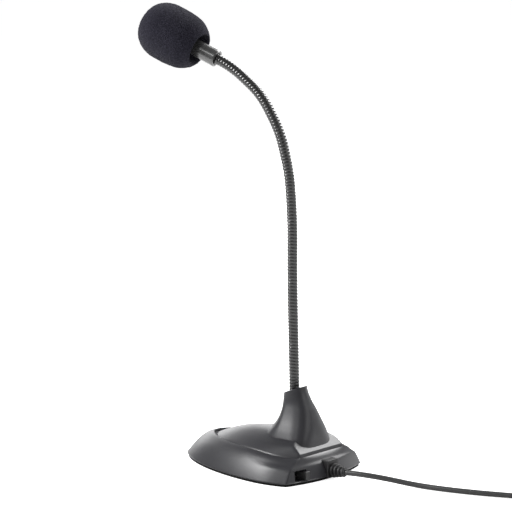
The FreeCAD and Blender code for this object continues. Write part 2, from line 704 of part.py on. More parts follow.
def make_socket():
    """Brass bush in the neck's web, with its washer and nut."""
    r = dim("coil_radius") + dim("socket_clearance")
    outer, flange = dim("socket_radius"), dim("socket_flange_radius")
    high, low = dim("web_high"), dim("web_low")
    bottom = dim("socket_bottom")
    body = new_body("gooseneck_socket")
    turned(body, [(r, bottom), (outer, bottom), (outer, high), (flange, high),
                  (flange, high + 1.8), (outer, high + 2.4), (r, high + 2.4)])
    body = new_body("socket_washer")
    washer = dim("washer_radius")
    turned(body, [(outer, low - 0.8), (washer, low - 0.8), (washer, low), (outer, low)])
    body = new_body("socket_nut")
    sketch = new_sketch(body, "XY_Plane", low - 3.4)
    across = dim("nut_across")
    corners = [(across * math.cos(math.radians(60 * i)), across * math.sin(math.radians(60 * i)))
               for i in range(6)]
    polygon(sketch, corners)
    nut = body.newObject("PartDesign::Pad", "socket_nut_pad")
    nut.Profile = sketch
    nut.Length = 2.6
    hole = new_sketch(body, "XY_Plane", low - 3.4)
    circle(hole, 0, 0, "dims.socket_radius")
    pocket(body, hole, "3 mm", reverse=True)


# ---------------------------------------------------------------- microphone head

def place_head(body, end):
    """The head's pieces are drawn along +Z from the collar's rear face."""
    body.Placement = aimed(end, COLLAR_LEAN)


def make_head(end):
    outer, bore, length = dim("collar_radius"), dim("collar_bore"), dim("collar_length")
    mouth, lip = dim("collar_mouth"), dim("collar_lip")
    body = new_body("capsule_housing")
    turned(body, [(mouth, 0), (outer - 0.4, 0), (outer, 0.4), (outer, length), (bore, length),
                  (bore, lip), (mouth, lip)])
    place_head(body, end)
    ferrule_low = dim("ferrule_recess")
    body = new_body("head_ferrule")
    turned(body, [(dim("coil_radius"), ferrule_low), (dim("ferrule_radius"), ferrule_low),
                  (dim("ferrule_radius"), ferrule_low + dim("ferrule_length")),
                  (dim("coil_radius"), ferrule_low + dim("ferrule_length"))])
    place_head(body, end)
    front = length
    grille_low = front - dim("grille_thick")
    holes = [(0.0, 0.0)]
    for ring_radius, count in ((1.3, 6), (2.5, 10)):
        for i in range(count):
            angle = 2 * math.pi * i / count
            holes.append((ring_radius * math.cos(angle), ring_radius * math.sin(angle)))
    grille = rod(0, 0, grille_low, front, bore)
    for x, y in holes:
        grille = grille.cut(rod(x, y, grille_low - 1, front + 1, 0.32))
    shape_part("capsule_grille", grille, aimed(end, COLLAR_LEAN))
    felt_low = grille_low - dim("felt_thick")
    boot_low = felt_low - dim("boot_length")
    capsule = dim("capsule_radius")
    parts = (
        ("capsule_felt", [(0, felt_low), (capsule, felt_low), (capsule, grille_low),
                          (0, grille_low)]),
        ("capsule", [(0, felt_low - dim("capsule_length")),
                     (capsule, felt_low - dim("capsule_length")), (capsule, felt_low),
                     (0, felt_low)]),
        ("capsule_boot", [(capsule, boot_low), (bore, boot_low), (bore, grille_low),
                          (capsule, grille_low)]),
        ("capsule_board", [(0, boot_low - dim("board_thick")),
                           (capsule + 0.3, boot_low - dim("board_thick")),
                           (capsule + 0.3, boot_low), (0, boot_low)]),
    )
    for node, points in parts:
        body = new_body(node)
        turned(body, points)
        place_head(body, end)
    lead_low = dim("coil_in_collar")
    lead = rod(0, 0, lead_low, boot_low - dim("board_thick"), dim("lead_radius"))
    shape_part("capsule_lead", lead, aimed(end, COLLAR_LEAN))
    shape_part("windscreen", make_foam(), aimed(end, COLLAR_LEAN))


def make_foam():
    """Egg of open-cell foam with a blunt front, a turned-in mouth and a blind bore."""
    start, length, radius = dim("foam_start"), dim("foam_length"), dim("foam_radius")
    mouth = dim("foam_mouth_radius")
    bore = dim("collar_radius") + dim("foam_gap")
    bottom = dim("collar_length") + dim("foam_gap")
    shares = ((0.07, 0.72), (0.20, 0.90), (0.36, 0.98), (0.52, 1.0), (0.68, 0.98),
              (0.82, 0.865), (0.93, 0.62))
    rim = Vector(mouth + 1.2, 0, start)
    points = [rim] + [Vector(radius * across, 0, start + length * along)
                      for along, across in shares]
    points.append(Vector(0, 0, start + length))
    curve = Part.BSplineCurve()
    curve.interpolate(points)
    corners = [Vector(0, 0, start + length), Vector(0, 0, bottom), Vector(bore, 0, bottom),
               Vector(bore, 0, start + 6.5), Vector(mouth, 0, start + 0.7)]
    edges = [curve.toShape()]
    for a, b in zip(corners, corners[1:]):
        edges.append(Part.LineSegment(a, b).toShape())
    edges.append(Part.Arc(corners[-1], Vector(mouth + 0.35, 0, start + 0.15), rim).toShape())
    face = Part.Face(Part.Wire(edges))
    return face.revolve(Vector(0, 0, 0), Vector(0, 0, 1), 360)


# ---------------------------------------------------------------- cable and plug

# The cable's route on the table, chosen by hand: out of the entry, down to the table,
# along it in one lazy bend, and up to the outside of the wound cable.
CABLE_ROUTE = (
    (0.0, 36.0, 4.6), (-1.4, 46.0, 4.9), (-6.3, 58.0, 3.7), (-12.2, 75.0, 1.5),
    (-15.3, 93.0, 1.5), (-20.6, 111.0, 1.5), (-26.2, 127.0, 1.7), (-29.0, 140.0, 2.0),
    (-29.6, 153.0, 2.1),
)
# From the top turn of the wound cable down to the plug, which lies beside it.
TAIL_ROUTE = (
    (-51.25, 174.65, 11.3), (-61.8, 175.2, 10.8), (-71.8, 172.9, 8.0), (-78.9, 166.0, 5.3),
    (-81.7, 156.5, 4.1), (-81.9, 147.0, 4.0),
)


def make_cord():
    radius = dim("cable_radius")
    shape_part("cable_tube", rounded_tube([Vector(*p) for p in CABLE_ROUTE], radius, "cable_tube"))
    shape_part("cable_tail", rounded_tube([Vector(*p) for p in TAIL_ROUTE], radius, "cable_tail"))
    centre = Vector(dim("wind_x"), dim("wind_y"), 0)
    mean, pitch, thick = dim("wind_mean_radius"), dim("wind_pitch"), dim("tie_thick")
    half_span = (dim("turns_across") - 1) * pitch / 2 + radius
    outer, inner = mean + half_span, mean - half_span
    top = thick + (dim("turn_layers") - 1) * pitch + 2 * radius
    ring = rod(centre.x, centre.y, thick, top, outer).cut(
        rod(centre.x, centre.y, thick - 1, top + 1, inner))
    ring = ring.makeFillet(1.2, [e for e in ring.Edges if e.Curve.TypeId == "Part::GeomCircle"])
    shape_part("cable_coil", ring)
    half = dim("tie_width") / 2
    x0, x1 = centre.x - outer - thick, centre.x - inner + thick
    band = box(x0, x1, centre.y - half, centre.y + half, 0, top + thick)
    slack = box(x0 + thick, x1 - thick, centre.y - half - 1, centre.y + half + 1, thick, top)
    shape_part("coil_tie", band.cut(slack).cut(ring))


def make_plug():
    """Moulded 3.5 mm three-pole plug, drawn along +Z and laid on the table pointing to -Y."""
    r, jack = dim("plug_radius"), dim("jack_radius")
    lie = Placement(Vector(dim("plug_x"), dim("plug_y"), r), Rotation(Vector(1, 0, 0), 90))
    relief, body_end = 9.0, 25.0
    body = new_body("plug_body")
    turned(body, [(0, 0), (2.2, 0), (2.4, 1.6), (2.1, 2.0), (2.1, 2.8), (2.6, 3.2), (2.7, 5.0),
                  (2.3, 5.4), (2.3, 6.2), (3.0, 6.8), (3.1, relief), (r, relief + 1.2),
                  (r, body_end - 1.0), (r - 0.6, body_end), (0, body_end)])
    body.Placement = lie
    collar = body_end + 1.2
    sleeve_end = collar + 6.4
    ring_end = sleeve_end + 3.1
    tip_end = body_end + 15.2
    steps = (
        ("plug_sleeve", [(0, body_end), (2.7, body_end), (2.7, collar), (jack, collar),
                         (jack, sleeve_end), (0, sleeve_end)]),
        ("plug_ring", [(0, sleeve_end + 0.7), (jack, sleeve_end + 0.7), (jack, ring_end),
                       (0, ring_end)]),
        ("plug_tip", [(0, ring_end + 0.7), (jack, ring_end + 0.7), (jack, tip_end - 3.0),
                      (1.2, tip_end - 2.4), (1.65, tip_end - 1.6), (0.4, tip_end),
                      (0, tip_end)]),
    )
    for node, points in steps:
        body = new_body(node)
        turned(body, points)
        body.Placement = lie
    rings = [rod(0, 0, low, low + 0.7, jack) for low in (sleeve_end, ring_end)]
    shape_part("plug_insulators", Part.makeCompound(rings), lie)


# ---------------------------------------------------------------- build and write

make_base_cover()
make_upper_cover()
make_foot_pad()
make_base_plate()
make_ballast()
make_screws()
make_switch()
make_cable_entry()
make_socket()
joint_places = make_gooseneck()
make_head(joint_places[-1])
make_cord()
make_plug()
doc.recompute()

for i, place in enumerate(joint_places):
    lean = (JOINT_LEANS + (COLLAR_LEAN,))[i]
    along = leaning(lean)
    print("joint %d at (%.3f, %.3f, %.3f) along (%.5f, %.5f, %.5f)" % (
        i + 1, place.x, place.y, place.z, along.x, along.y, along.z))

for obj in doc.Objects:
    if "Invalid" in obj.State or "Error" in obj.State:
        raise RuntimeError("%s failed: %s" % (obj.Name, obj.State))
for obj in made:
    if obj.Shape.isNull() or not obj.Shape.isValid() or not obj.Shape.Solids:
        raise RuntimeError("%s has no valid solid" % obj.Label)

os.makedirs("parts", exist_ok=True)
for obj in made:
    obj.Shape.exportStep("parts/%s.step" % obj.Label)
print("%d sub-parts" % len(made))
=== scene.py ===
"""Gooseneck desk microphone: the looks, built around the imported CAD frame.

Lengths in the tables and in the mesh code are millimetres, and mesh_piece() turns them into metres."""

import json
import math

import bmesh
import bpy
import numpy as np
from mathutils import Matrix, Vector, noise


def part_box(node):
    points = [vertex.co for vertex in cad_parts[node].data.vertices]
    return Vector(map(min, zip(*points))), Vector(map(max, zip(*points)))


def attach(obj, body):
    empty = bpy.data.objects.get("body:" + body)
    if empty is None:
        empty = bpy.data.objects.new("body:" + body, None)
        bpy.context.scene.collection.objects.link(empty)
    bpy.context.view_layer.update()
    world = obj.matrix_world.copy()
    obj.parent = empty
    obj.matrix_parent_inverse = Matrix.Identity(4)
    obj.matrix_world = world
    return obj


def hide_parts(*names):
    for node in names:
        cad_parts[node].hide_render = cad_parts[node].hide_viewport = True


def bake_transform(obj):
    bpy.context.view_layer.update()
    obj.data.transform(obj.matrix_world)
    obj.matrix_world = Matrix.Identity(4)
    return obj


MM = 0.001

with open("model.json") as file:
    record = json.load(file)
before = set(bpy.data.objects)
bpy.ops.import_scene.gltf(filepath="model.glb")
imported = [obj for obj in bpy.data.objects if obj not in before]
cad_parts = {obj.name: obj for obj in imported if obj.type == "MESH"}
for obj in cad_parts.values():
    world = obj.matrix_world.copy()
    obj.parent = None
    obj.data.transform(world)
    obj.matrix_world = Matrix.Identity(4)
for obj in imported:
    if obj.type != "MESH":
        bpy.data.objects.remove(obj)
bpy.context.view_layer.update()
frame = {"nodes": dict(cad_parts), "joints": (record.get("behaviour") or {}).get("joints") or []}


def corners(node):
    """Lowest and highest corner of a CAD node, in millimetres."""
    low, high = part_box(node)
    return np.array(low) / MM, np.array(high) / MM


def unit(v):
    """The vector scaled to length 1."""
    v = np.asarray(v, float)
    return v / np.linalg.norm(v)


def smooth_step(t):
    """0 up to t = 0, 1 from t = 1, with an even ease between them."""
    t = np.clip(t, 0.0, 1.0)
    return t * t * (3 - 2 * t)


# ---------------------------------------------------------------- camera, lights, floor

CAMERA_AZIMUTH, CAMERA_ELEVATION = 130.0, 9.5
CAMERA_DISTANCE = 1500.0
CAMERA_TARGET = (0.0, -27.9, 117.15)
CAMERA_LENS = 191.1
SENSOR_WIDTH = 36.0
LIGHT_TARGET = (0.0, -0.02, 0.08)
WORLD_SEEN, WORLD_UNSEEN = 1.05, 0.24
FLOOR_SEEN = 0.80
FLOOR_DROP = 0.00005


def make_camera():
    azimuth, elevation = math.radians(CAMERA_AZIMUTH), math.radians(CAMERA_ELEVATION)
    back = Vector((math.sin(azimuth) * math.cos(elevation),
                   -math.cos(azimuth) * math.cos(elevation), math.sin(elevation)))
    data = bpy.data.cameras.new("camera")
    data.lens, data.sensor_width = CAMERA_LENS, SENSOR_WIDTH
    data.clip_start, data.clip_end = 0.05, 20.0
    camera = bpy.data.objects.new("camera", data)
    camera.location = (Vector(CAMERA_TARGET) + back * CAMERA_DISTANCE) * MM
    camera.rotation_euler = back.to_track_quat("Z", "Y").to_euler()
    bpy.context.scene.collection.objects.link(camera)
    bpy.context.scene.camera = camera


def area_light(name, direction, distance, size, power):
    """A soft box that looks at the object from a direction. Distance and size are in metres."""
    data = bpy.data.lights.new(name, "AREA")
    data.shape, data.size, data.size_y = "RECTANGLE", size[0], size[1]
    data.energy = power
    light = bpy.data.objects.new(name, data)
    direction = Vector(direction).normalized()
    light.location = Vector(LIGHT_TARGET) + direction * distance
    light.rotation_euler = direction.to_track_quat("Z", "Y").to_euler()
    bpy.context.scene.collection.objects.link(light)


def camera_only(tree, seen, unseen, target):
    """A strength that is seen for what the camera looks at, and unseen for the light on the object."""
    path = tree.nodes.new("ShaderNodeLightPath")
    ends = tree.nodes.new("ShaderNodeMapRange")
    ends.inputs["To Min"].default_value, ends.inputs["To Max"].default_value = unseen, seen
    tree.links.new(path.outputs["Is Camera Ray"], ends.inputs["Value"])
    tree.links.new(ends.outputs["Result"], target)


def make_lights():
    world = bpy.data.worlds.new("studio")
    world.use_nodes = True
    tree = world.node_tree
    background = tree.nodes["Background"]
    background.inputs["Color"].default_value = (1.0, 1.0, 1.0, 1.0)
    camera_only(tree, WORLD_SEEN, WORLD_UNSEEN, background.inputs["Strength"])
    bpy.context.scene.world = world
    bpy.context.scene.view_settings.view_transform = "Standard"
    area_light("key_box", (0.58, -0.58, 0.58), 1.1, (0.46, 0.46), 13.0)
    area_light("deck_box", (-0.75, 0.08, 0.65), 1.2, (0.8, 0.8), 17.0)
    area_light("back_left", (-0.62, -0.77, 0.18), 1.3, (1.2, 0.42), 5.5)
    area_light("back_right", (-0.93, 0.35, 0.06), 1.3, (0.9, 0.4), 1.4)
    area_light("rear_fill", (-0.2, 0.85, 0.45), 1.3, (0.8, 0.8), 2.8)
    area_light("camera_fill", (0.80, 0.0, 0.68), 1.5, (0.3, 0.3), 1.5)


def make_floor():
    """Plain pale floor, lifted to white for the camera only."""
    bpy.ops.mesh.primitive_plane_add(size=40.0, location=(0.0, 0.0, -FLOOR_DROP))
    floor = bpy.context.object
    floor.name = "studio_floor"
    tree = FLOOR.node_tree
    shader = tree.nodes["Principled BSDF"]
    shader.inputs["Emission Color"].default_value = (1.0, 1.0, 1.0, 1.0)
    camera_only(tree, FLOOR_SEEN, 0.0, shader.inputs["Emission Strength"])
    floor.data.materials.append(FLOOR)


# ---------------------------------------------------------------- materials

def node_of(tree, kind, **inputs):
    """A new shader node with some of its inputs set."""
    node = tree.nodes.new(kind)
    for name, value in inputs.items():
        node.inputs[name.replace("_", " ")].default_value = value
    return node


def material(name, dark, light, grain, roughness, bump=0.0, bump_depth=0.05, metallic=0.0,
             fine=None, specular=0.5, coat=0.0, coat_roughness=0.1, sheen=0.0, patch=25.0):
    """A procedural surface. dark and light are the ends of its colour; grain and patch are sizes in
    millimetres of the texture and of the slow change of tone; roughness is its two ends."""
    made = bpy.data.materials.new(name)
    made.use_nodes = True
    tree = made.node_tree
    shader = tree.nodes["Principled BSDF"]
    place = tree.nodes.new("ShaderNodeTexCoord")
    texture = node_of(tree, "ShaderNodeTexNoise", Scale=1 / (grain * MM), Detail=3.0, Roughness=0.6)
    slow = node_of(tree, "ShaderNodeTexNoise", Scale=1 / (patch * MM), Detail=2.0)
    tree.links.new(place.outputs["Object"], texture.inputs["Vector"])
    tree.links.new(place.outputs["Object"], slow.inputs["Vector"])
    height = texture.outputs["Fac"]
    if fine:
        cells = node_of(tree, "ShaderNodeTexVoronoi", Scale=1 / (fine * MM))
        tree.links.new(place.outputs["Object"], cells.inputs["Vector"])
        height = cells.outputs["Distance"]
    blend = node_of(tree, "ShaderNodeMath")
    blend.operation = "MULTIPLY_ADD"
    blend.inputs[1].default_value = 0.6
    tree.links.new(height, blend.inputs[0])
    soften = node_of(tree, "ShaderNodeMath")
    soften.operation = "MULTIPLY"
    soften.inputs[1].default_value = 0.4
    tree.links.new(slow.outputs["Fac"], soften.inputs[0])
    tree.links.new(soften.outputs[0], blend.inputs[2])
    tone = node_of(tree, "ShaderNodeMapRange", From_Min=0.3, From_Max=0.7)
    tree.links.new(blend.outputs[0], tone.inputs["Value"])
    mix = tree.nodes.new("ShaderNodeMix")
    mix.data_type = "RGBA"
    mix.inputs["A"].default_value = (*dark, 1.0)
    mix.inputs["B"].default_value = (*light, 1.0)
    tree.links.new(tone.outputs["Result"], mix.inputs["Factor"])
    tree.links.new(mix.outputs["Result"], shader.inputs["Base Color"])
    rough = node_of(tree, "ShaderNodeMapRange", From_Min=0.25, From_Max=0.75,
                    To_Min=roughness[0], To_Max=roughness[1])
    tree.links.new(texture.outputs["Fac"], rough.inputs["Value"])
    tree.links.new(rough.outputs["Result"], shader.inputs["Roughness"])
    if bump:
        relief = node_of(tree, "ShaderNodeBump", Strength=bump, Distance=bump_depth * MM)
        tree.links.new(height, relief.inputs["Height"])
        tree.links.new(relief.outputs["Normal"], shader.inputs["Normal"])
    shader.inputs["Metallic"].default_value = metallic
    shader.inputs["Specular IOR Level"].default_value = specular
    shader.inputs["Coat Weight"].default_value = coat
    shader.inputs["Coat Roughness"].default_value = coat_roughness
    shader.inputs["Sheen Weight"].default_value = sheen
    return made


def grey(value, tint=0.0):
    """A grey, with its blue raised by the share tint."""
    return (value, value, value * (1 + tint))


SHELL = material("shell_plastic", (0.022, 0.022, 0.0255), (0.030, 0.030, 0.0345), 0.22, (0.30, 0.40),
                 bump=0.3, bump_depth=0.02, fine=0.16)
# Dark plastic of the inner parts; on head_ferrule it is painted shade, standing for the shade in the
# collar's bore in place of the ferrule's own metal.
INNER_PLASTIC_AND_SHADE = material("inner_plastic", grey(0.012), grey(0.02), 0.3, (0.45, 0.6), bump=0.2)
WIRE = material("black_wire", grey(0.03), grey(0.045), 0.8, (0.20, 0.26), bump=0.1,
                bump_depth=0.01, metallic=0.6, specular=0.9, coat=0.6, coat_roughness=0.1)
GLOSS = material("smoky_plastic", grey(0.06), grey(0.08), 0.4, (0.26, 0.34), bump=0.08,
                 bump_depth=0.01, metallic=0.35, specular=0.9, coat=0.9, coat_roughness=0.18)
FOAM = material("open_cell_foam", (0.008, 0.0075, 0.013), (0.031, 0.030, 0.043), 0.45, (0.85, 1.0),
                bump=0.9, bump_depth=0.35, fine=0.55, specular=0.08, sheen=0.06)
CABLE = material("cable_jacket", grey(0.028), grey(0.042), 0.5, (0.30, 0.42), bump=0.15,
                 bump_depth=0.02)
RELIEF = material("moulded_relief", grey(0.016, 0.05), grey(0.024, 0.05), 0.25, (0.48, 0.60),
                  bump=0.3, bump_depth=0.02)
KNOB = material("switch_knob", grey(0.022), grey(0.032), 0.2, (0.36, 0.48), bump=0.25,
                bump_depth=0.02)
RUBBER = material("pad_rubber", grey(0.004), grey(0.008), 0.4, (0.7, 0.9), bump=0.5, fine=0.4,
                  specular=0.2)
STEEL = material("zinc_steel", grey(0.42), grey(0.55), 0.6, (0.28, 0.42), bump=0.1, metallic=1.0)
BRASS = material("turned_brass", (0.52, 0.36, 0.14), (0.66, 0.48, 0.2), 0.5, (0.22, 0.34),
                 bump=0.1, metallic=1.0)
NICKEL = material("nickel_plate", grey(0.62), grey(0.74), 0.8, (0.10, 0.18), bump=0.05,
                  metallic=1.0)
CAN = material("drawn_aluminium", grey(0.6), grey(0.7), 0.5, (0.25, 0.35), bump=0.1, metallic=1.0)
BOARD = material("circuit_board", (0.008, 0.05, 0.02), (0.012, 0.08, 0.03), 0.6, (0.3, 0.4),
                 bump=0.1)
PHENOLIC = material("phenolic_board", (0.10, 0.045, 0.02), (0.16, 0.07, 0.03), 0.4, (0.5, 0.65),
                    bump=0.2)
STRAP = material("hook_and_loop", grey(0.006), grey(0.014), 0.25, (0.8, 0.95), bump=0.8,
                 bump_depth=0.12, fine=0.3, sheen=0.2)
FLOOR = material("pale_floor", grey(0.80), grey(0.82), 60.0, (0.55, 0.62), patch=400.0)

CAD_FINISH = {
    # base_plate, cable_clamp and plug_insulators are dark plastic of their own; head_ferrule gets it as
    # painted shade of the bore it sits in.
    INNER_PLASTIC_AND_SHADE: ("base_plate", "cable_clamp", "plug_insulators", "head_ferrule"),
    RUBBER: ("foot_pad", "capsule_boot"),
    STEEL: ("ballast_plate", "base_screws", "ballast_screws", "switch_shell", "switch_screws",
            "clamp_screws", "socket_washer", "socket_nut"),
    BRASS: ("gooseneck_socket", "switch_terminals"),
    CAN: ("capsule", "capsule_grille"),
    NICKEL: ("plug_sleeve", "plug_ring", "plug_tip"),
    BOARD: ("capsule_board",),
    PHENOLIC: ("switch_base",),
    STRAP: ("capsule_felt",),
    CABLE: ("inner_cable", "switch_lead", "neck_lead", "gooseneck_foot_lead", "capsule_lead",
            *("gooseneck_lead_%d" % i for i in range(1, 8))),
}


def paint_cad():
    for finish, names in CAD_FINISH.items():
        for name in names:
            mesh = frame["nodes"][name].data
            mesh.materials.clear()
            mesh.materials.append(finish)


# ---------------------------------------------------------------- mesh helpers

def mesh_piece(name, vertices, faces, finish, crease=None):
    """A smooth-shaded mesh object from millimetres; edges sharper than crease degrees stay sharp."""
    mesh = bpy.data.meshes.new(name)
    mesh.from_pydata([tuple(np.asarray(v, float) * MM) for v in vertices], [], faces)
    mesh.validate()
    sheet = bmesh.new()
    sheet.from_mesh(mesh)
    bmesh.ops.recalc_face_normals(sheet, faces=sheet.faces)
    if crease:
        limit = math.radians(crease)
        for edge in sheet.edges:
            edge.smooth = not (edge.is_manifold and edge.calc_face_angle(0.0) > limit)
    for face in sheet.faces:
        face.smooth = True
    sheet.to_mesh(mesh)
    sheet.free()
    mesh.materials.append(finish)
    piece = bpy.data.objects.new(name, mesh)
    bpy.context.scene.collection.objects.link(piece)
    return piece


def ring_faces(count, rings, closed_rings=False, first=0):
    """Quads between rings of count points each; closed_rings joins the last ring to the first."""
    faces = []
    for i in range(rings if closed_rings else rings - 1):
        low, high = first + i * count, first + ((i + 1) % rings) * count
        for j in range(count):
            k = (j + 1) % count
            faces.append((low + j, low + k, high + k, high + j))
    return faces


def ring_piece(name, rings, finish, crease=None, caps=(True, True)):
    """A skin over closed rings of points, with its ends closed by a fan round a middle point."""
    count = len(rings[0])
    vertices = [p for ring in rings for p in ring]
    faces = ring_faces(count, len(rings))
    for cap, ring, start in ((caps[0], rings[0], 0), (caps[1], rings[-1], (len(rings) - 1) * count)):
        if cap:
            vertices.append(np.mean(np.array(ring), axis=0))
            middle = len(vertices) - 1
            faces += [(start + j, start + (j + 1) % count, middle) for j in range(count)]
    return mesh_piece(name, vertices, faces, finish, crease)


def spline_through(points, per_span):
    """Points on a uniform Catmull-Rom curve through the given ones."""
    points = np.array(points, float)
    out = []
    for i in range(len(points) - 1):
        before = points[i - 1] if i else 2 * points[0] - points[1]
        after = points[i + 2] if i + 2 < len(points) else 2 * points[-1] - points[-2]
        a, b = points[i], points[i + 1]
        for j in range(per_span):
            t = j / per_span
            out.append(0.5 * (2 * a + (b - before) * t + (2 * before - 5 * a + 4 * b - after) * t * t
                              + (3 * a - before - 3 * b + after) * t ** 3))
    out.append(points[-1])
    return np.array(out)


def turned_piece(name, profile, origin, axis, finish, count=64, crease=40):
    """Solid of revolution of (radius, distance along the axis) points; radius 0 ends close it."""
    axis = unit(axis)
    side = unit(np.cross(axis, (0.31, 0.2, 0.93) if abs(axis[2]) < 0.9 else (1, 0, 0)))
    up = np.cross(axis, side)
    rings = []
    for radius, along in profile:
        angles = np.arange(count) * 2 * math.pi / count
        radius = max(radius, 1e-4)
        rings.append([origin + axis * along + (side * math.cos(a) + up * math.sin(a)) * radius
                      for a in angles])
    return ring_piece(name, rings, finish, crease)


def bevelled_box(name, low, high, bevel, finish, segments=3):
    """A box between two corners, all of its edges rounded by bevel."""
    sheet = bmesh.new()
    bmesh.ops.create_cube(sheet, size=1.0)
    low, high = np.array(low, float), np.array(high, float)
    for v in sheet.verts:
        v.co = Vector(((low + high) / 2 + np.array(v.co) * (high - low)) * MM)
    bmesh.ops.bevel(sheet, geom=sheet.edges[:], offset=bevel * MM, segments=segments,
                    affect="EDGES", profile=0.5)
    for face in sheet.faces:
        face.smooth = True
    mesh = bpy.data.meshes.new(name)
    sheet.to_mesh(mesh)
    sheet.free()
    mesh.materials.append(finish)
    piece = bpy.data.objects.new(name, mesh)
    bpy.context.scene.collection.objects.link(piece)
    piece.modifiers.new("even_normals", "WEIGHTED_NORMAL").keep_sharp = True
    return piece


# ---------------------------------------------------------------- cable

# The cable's route on the table, the same as in the CAD source.
CABLE_ROUTE = (
    (0.0, 36.0, 4.6), (-1.4, 46.0, 4.9), (-6.3, 58.0, 3.7), (-12.2, 75.0, 1.5),
    (-15.3, 93.0, 1.5), (-20.6, 111.0, 1.5), (-26.2, 127.0, 1.7), (-29.0, 140.0, 2.0),
    (-29.6, 153.0, 2.1),
)
TAIL_ROUTE = (
    (-51.25, 174.65, 11.3), (-61.8, 175.2, 10.8), (-71.8, 172.9, 8.0), (-78.9, 166.0, 5.3),
    (-81.7, 156.5, 4.1), (-81.9, 147.0, 4.0),
)
CABLE_DIAMETER = 3.0
TURN_PITCH = 3.1
TURN_LAYERS = 4
TURNS = 12.25
CLIMB_TURNS = 0.25
POINTS_PER_TURN = 24


def wound_turns():
    """Turns of the coil: each layer is a flat spiral, in or out, and the next layer lies on it."""
    start, end = CABLE_ROUTE[-1], TAIL_ROUTE[0]
    centre_x, centre_y = end[0], start[1]
    outer = start[0] - centre_x
    layer_step = (end[2] - start[2]) / (TURN_LAYERS - 1)
    spiral = (TURNS - (TURN_LAYERS - 1) * CLIMB_TURNS) / TURN_LAYERS
    points = []
    for i in range(1, round(TURNS * POINTS_PER_TURN)):
        turn = i / POINTS_PER_TURN
        layer = min(int(turn / (spiral + CLIMB_TURNS)), TURN_LAYERS - 1)
        within = turn - layer * (spiral + CLIMB_TURNS)
        moved = min(within, spiral)
        climbed = max(0.0, within - spiral) / CLIMB_TURNS
        radius = outer - TURN_PITCH * (moved if layer % 2 == 0 else spiral - moved)
        angle = 2 * math.pi * turn
        points.append((centre_x + radius * math.cos(angle), centre_y + radius * math.sin(angle),
                       start[2] + layer_step * (layer + climbed)))
    return points


def make_cable():
    """The cable in one run: along the table, round the coil and out to the plug."""
    points = [*CABLE_ROUTE, *wound_turns(), *TAIL_ROUTE]
    curve = bpy.data.curves.new("cable", "CURVE")
    curve.dimensions = "3D"
    curve.bevel_depth = CABLE_DIAMETER / 2 * MM
    curve.bevel_resolution = 6
    curve.resolution_u = 6
    curve.use_fill_caps = True
    line = curve.splines.new("NURBS")
    line.points.add(len(points) - 1)
    for target, point in zip(line.points, points):
        target.co = (*(np.array(point) * MM), 1.0)
    line.order_u = 3
    line.use_endpoint_u = True
    curve.materials.append(CABLE)
    cable = bpy.data.objects.new("cable", curve)
    bpy.context.scene.collection.objects.link(cable)
    return cable


# ---------------------------------------------------------------- base: skirt

# The rim's dip: its depth, the y where it starts and is full, the height where it fades in
# and the height where it fades out, each of these two with the span of the fade.
REAR_DIP, DIP_FROM, DIP_TO = 1.8, -15.0, 19.0
DIP_LOW, DIP_LOW_SPAN = 8.0, 5.0
DIP_HIGH, DIP_HIGH_SPAN = 15.5, 4.0


def dipped(point):
    """A point of the base's upper parts, let down where the rim runs down to the rear face."""
    x, y, z = point
    high = float(smooth_step((z - DIP_LOW) / DIP_LOW_SPAN)
                 * (1 - smooth_step((z - DIP_HIGH) / DIP_HIGH_SPAN)))
    return (x, y, z - REAR_DIP * high * float(smooth_step((y - DIP_FROM) / (DIP_TO - DIP_FROM))))


SKIRT = {
    "widest_y": 2.3, "corner_half": 32.9, "corner_y": 20.8, "rim_half": 25.8, "rim_reach": 56.4,
    "rim_corner_half": 19.9, "rim_rear_y": 19.7, "rim_z": 15.4, "foot_z": 1.2,
    "nose_power": 1.75, "slope_power": 2.0, "slope_share": 0.85, "corner_round": 0.8,
}
SLOT = {"left": 16.5, "right": 25.3, "low": 1.9, "high": 7.9, "depth": 7.0}
FRONT_POINTS, SIDE_POINTS, CORNER_POINTS = 34, 12, 4
SLOT_COLUMNS = (4, 5, 22)
SLOT_ROWS, SLOPE_ROWS = 7, 20
# The slot's mouth: depth behind the rear face, and how far its edges have moved in there.
SLOT_MOUTH = ((0.12, 0.14), (0.35, 0.2), (SLOT["depth"], 0.2))
# Only the slot's edges move in, which lie farther than this from its middle, across and up.
SLOT_EDGE_X, SLOT_EDGE_Z = 4.2, 2.8
# The rounded lower edge: height above the foot and inset, then the height where the slope starts.
FOOT_RINGS = ((0.02, 0.85), (0.08, 0.5), (0.22, 0.22), (0.42, 0.06))
SLOPE_START = 0.62
# The rim's inner side: depth below the rim and inset, and the inset of the hollow at the foot.
RIM_RINGS = ((0.04, 0.12), (0.2, 0.24), (1.6, 0.42), (1.7, 2.0))
HOLLOW_INSET = 2.2


def step_at(height):
    """Where on the skirt's slope a height is: 0 at the foot, 1 at the rim."""
    share = (height - SKIRT["foot_z"]) / (SKIRT["rim_z"] - SKIRT["foot_z"])
    power, cut = SKIRT["slope_power"], 1 - SKIRT["slope_share"]
    return (1 - (1 - share * (1 - cut ** power)) ** (1 / power)) / SKIRT["slope_share"]


def height_at(step):
    """The height at a step of the slope, the reverse of step_at."""
    power, cut = SKIRT["slope_power"], 1 - SKIRT["slope_share"]
    rise = (1 - (1 - SKIRT["slope_share"] * step) ** power) / (1 - cut ** power)
    return SKIRT["foot_z"] + (SKIRT["rim_z"] - SKIRT["foot_z"]) * rise


def egg_side(width, reach, corner_half, corner_y):
    """One side of an outline from the nose round to the rear corner."""
    widest, power = SKIRT["widest_y"], SKIRT["nose_power"]
    side = []
    for i in range(FRONT_POINTS):
        angle = math.pi / 2 * (1 - i / FRONT_POINTS)
        share = math.sin(angle) ** (2 / power)
        side.append((width * math.cos(angle) ** (2 / power), widest - share * (reach + widest)))
    for i in range(SIDE_POINTS + 1):
        share = i / SIDE_POINTS
        side.append((width - (width - corner_half) * share ** 2,
                     widest + share * (corner_y - widest)))
    return side


